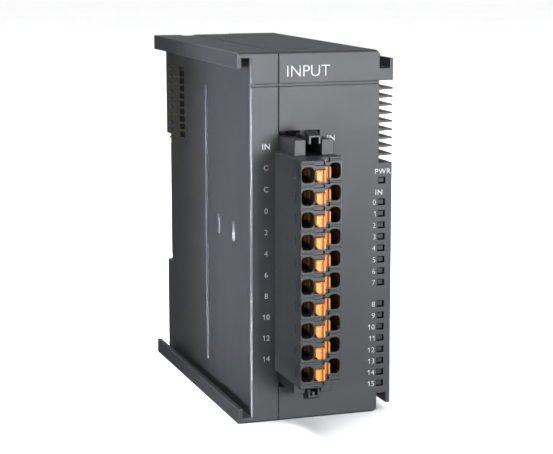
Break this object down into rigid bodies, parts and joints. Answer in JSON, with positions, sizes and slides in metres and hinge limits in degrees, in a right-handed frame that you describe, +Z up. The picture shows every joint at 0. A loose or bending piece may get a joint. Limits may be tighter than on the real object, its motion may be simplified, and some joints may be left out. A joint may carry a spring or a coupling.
{
  "type": "plc input module",
  "caption": "Slim rail-mounted controller input module with a stepped pull-off terminal plug, orange release buttons, status lights, bus contacts and a sliding rail clip.",
  "frame": {"origin": "centre of the face that rests on the 35 mm mounting rail, midway between the outer faces of the side hooks", "axes": "+X to the right seen from the front, +Y to the back into the rail, +Z up; the front looks along -Y"},
  "size_m": [0.0386, 0.0993, 0.088],
  "materials": {
    "housing": "fine textured graphite grey",
    "clip_plastic": "satin dark grey",
    "spring_steel": "bright rolled",
    "circuit_board": "green solder mask",
    "connector_plastic": "black moulded",
    "gold_plate": "gold plated",
    "light_pipe": "smoked clear",
    "led_lens": "clear epoxy",
    "chip_plastic": "moulded epoxy",
    "can_metal": "drawn can",
    "ferrite": "pressed ferrite",
    "tin_plate": "tin plated",
    "latch_plastic": "satin black",
    "terminal_plastic": "satin anthracite",
    "button_plastic": "orange moulded"
  },
  "bodies": {
    "module": {"left_shell": "housing", "right_shell": "housing", "earthing_spring": "spring_steel", "main_board": "circuit_board", "led_board": "circuit_board", "bus_board": "circuit_board", "board_link": "connector_plastic", "bus_link": "connector_plastic", "bus_contact_block": "connector_plastic", "bus_pad_block": "connector_plastic", "bus_contacts": "gold_plate", "bus_pads": "gold_plate", "light_pipes": "light_pipe", "status_leds": "led_lens", "optocouplers": "chip_plastic", "input_resistors": "chip_plastic", "controller_chip": "chip_plastic", "bus_chip": "chip_plastic", "capacitors": "can_metal", "power_inductor": "ferrite", "terminal_header": "connector_plastic", "header_pins": "tin_plate"},
    "din_clip": {"din_clip": "clip_plastic"},
    "top_latch": {"top_latch": "latch_plastic"},
    "bottom_latch": {"bottom_latch": "latch_plastic"},
    "terminal_plug": {"plug_body": "terminal_plastic", "plug_cover_left": "terminal_plastic", "plug_cover_right": "terminal_plastic", "plug_contacts": "tin_plate", "clamp_springs": "spring_steel"},
    "release_button_left_01": {"release_button_left_01": "button_plastic"},
    "release_button_left_02": {"release_button_left_02": "button_plastic"},
    "release_button_left_03": {"release_button_left_03": "button_plastic"},
    "release_button_left_04": {"release_button_left_04": "button_plastic"},
    "release_button_left_05": {"release_button_left_05": "button_plastic"},
    "release_button_left_06": {"release_button_left_06": "button_plastic"},
    "release_button_left_07": {"release_button_left_07": "button_plastic"},
    "release_button_left_08": {"release_button_left_08": "button_plastic"},
    "release_button_left_09": {"release_button_left_09": "button_plastic"},
    "release_button_left_10": {"release_button_left_10": "button_plastic"},
    "release_button_right_01": {"release_button_right_01": "button_plastic"},
    "release_button_right_02": {"release_button_right_02": "button_plastic"},
    "release_button_right_03": {"release_button_right_03": "button_plastic"},
    "release_button_right_04": {"release_button_right_04": "button_plastic"},
    "release_button_right_05": {"release_button_right_05": "button_plastic"},
    "release_button_right_06": {"release_button_right_06": "button_plastic"},
    "release_button_right_07": {"release_button_right_07": "button_plastic"},
    "release_button_right_08": {"release_button_right_08": "button_plastic"},
    "release_button_right_09": {"release_button_right_09": "button_plastic"},
    "release_button_right_10": {"release_button_right_10": "button_plastic"}
  },
  "joints": [
    {"name": "rail_clip_slide", "type": "slide", "parent": "module", "child": "din_clip", "axis": [0, 0, 1], "range_m": [0, 0.005]},
    {"name": "top_latch_hinge", "type": "hinge", "parent": "module", "child": "top_latch", "pos_m": [-0.0043, -0.0654, 0.0242], "axis": [-1, 0, 0], "range_deg": [0, 7], "stiffness_Nm_per_rad": 0.05, "springref_deg": -1.15},
    {"name": "bottom_latch_hinge", "type": "hinge", "parent": "module", "child": "bottom_latch", "pos_m": [-0.0043, -0.0654, -0.0344], "axis": [1, 0, 0], "range_deg": [0, 7], "stiffness_Nm_per_rad": 0.05, "springref_deg": -1.15},
    {"name": "plug_pull", "type": "slide", "parent": "module", "child": "terminal_plug", "axis": [0, -1, 0], "range_m": [0, 0.02]},
    {"name": "press_left_01", "type": "slide", "parent": "terminal_plug", "child": "release_button_left_01", "axis": [0, 1, 0], "range_m": [0, 0.0012], "stiffness_N_per_m": 1500, "springref_m": -0.0004},
    {"name": "press_left_02", "type": "slide", "parent": "terminal_plug", "child": "release_button_left_02", "axis": [0, 1, 0], "range_m": [0, 0.0012], "stiffness_N_per_m": 1500, "springref_m": -0.0004},
    {"name": "press_left_03", "type": "slide", "parent": "terminal_plug", "child": "release_button_left_03", "axis": [0, 1, 0], "range_m": [0, 0.0012], "stiffness_N_per_m": 1500, "springref_m": -0.0004},
    {"name": "press_left_04", "type": "slide", "parent": "terminal_plug", "child": "release_button_left_04", "axis": [0, 1, 0], "range_m": [0, 0.0012], "stiffness_N_per_m": 1500, "springref_m": -0.0004},
    {"name": "press_left_05", "type": "slide", "parent": "terminal_plug", "child": "release_button_left_05", "axis": [0, 1, 0], "range_m": [0, 0.0012], "stiffness_N_per_m": 1500, "springref_m": -0.0004},
    {"name": "press_left_06", "type": "slide", "parent": "terminal_plug", "child": "release_button_left_06", "axis": [0, 1, 0], "range_m": [0, 0.0012], "stiffness_N_per_m": 1500, "springref_m": -0.0004},
    {"name": "press_left_07", "type": "slide", "parent": "terminal_plug", "child": "release_button_left_07", "axis": [0, 1, 0], "range_m": [0, 0.0012], "stiffness_N_per_m": 1500, "springref_m": -0.0004},
    {"name": "press_left_08", "type": "slide", "parent": "terminal_plug", "child": "release_button_left_08", "axis": [0, 1, 0], "range_m": [0, 0.0012], "stiffness_N_per_m": 1500, "springref_m": -0.0004},
    {"name": "press_left_09", "type": "slide", "parent": "terminal_plug", "child": "release_button_left_09", "axis": [0, 1, 0], "range_m": [0, 0.0012], "stiffness_N_per_m": 1500, "springref_m": -0.0004},
    {"name": "press_left_10", "type": "slide", "parent": "terminal_plug", "child": "release_button_left_10", "axis": [0, 1, 0], "range_m": [0, 0.0012], "stiffness_N_per_m": 1500, "springref_m": -0.0004},
    {"name": "press_right_01", "type": "slide", "parent": "terminal_plug", "child": "release_button_right_01", "axis": [0, 1, 0], "range_m": [0, 0.0012], "stiffness_N_per_m": 1500, "springref_m": -0.0004},
    {"name": "press_right_02", "type": "slide", "parent": "terminal_plug", "child": "release_button_right_02", "axis": [0, 1, 0], "range_m": [0, 0.0012], "stiffness_N_per_m": 1500, "springref_m": -0.0004},
    {"name": "press_right_03", "type": "slide", "parent": "terminal_plug", "child": "release_button_right_03", "axis": [0, 1, 0], "range_m": [0, 0.0012], "stiffness_N_per_m": 1500, "springref_m": -0.0004},
    {"name": "press_right_04", "type": "slide", "parent": "terminal_plug", "child": "release_button_right_04", "axis": [0, 1, 0], "range_m": [0, 0.0012], "stiffness_N_per_m": 1500, "springref_m": -0.0004},
    {"name": "press_right_05", "type": "slide", "parent": "terminal_plug", "child": "release_button_right_05", "axis": [0, 1, 0], "range_m": [0, 0.0012], "stiffness_N_per_m": 1500, "springref_m": -0.0004},
    {"name": "press_right_06", "type": "slide", "parent": "terminal_plug", "child": "release_button_right_06", "axis": [0, 1, 0], "range_m": [0, 0.0012], "stiffness_N_per_m": 1500, "springref_m": -0.0004},
    {"name": "press_right_07", "type": "slide", "parent": "terminal_plug", "child": "release_button_right_07", "axis": [0, 1, 0], "range_m": [0, 0.0012], "stiffness_N_per_m": 1500, "springref_m": -0.0004},
    {"name": "press_right_08", "type": "slide", "parent": "terminal_plug", "child": "release_button_right_08", "axis": [0, 1, 0], "range_m": [0, 0.0012], "stiffness_N_per_m": 1500, "springref_m": -0.0004},
    {"name": "press_right_09", "type": "slide", "parent": "terminal_plug", "child": "release_button_right_09", "axis": [0, 1, 0], "range_m": [0, 0.0012], "stiffness_N_per_m": 1500, "springref_m": -0.0004},
    {"name": "press_right_10", "type": "slide", "parent": "terminal_plug", "child": "release_button_right_10", "axis": [0, 1, 0], "range_m": [0, 0.0012], "stiffness_N_per_m": 1500, "springref_m": -0.0004}
  ]
}
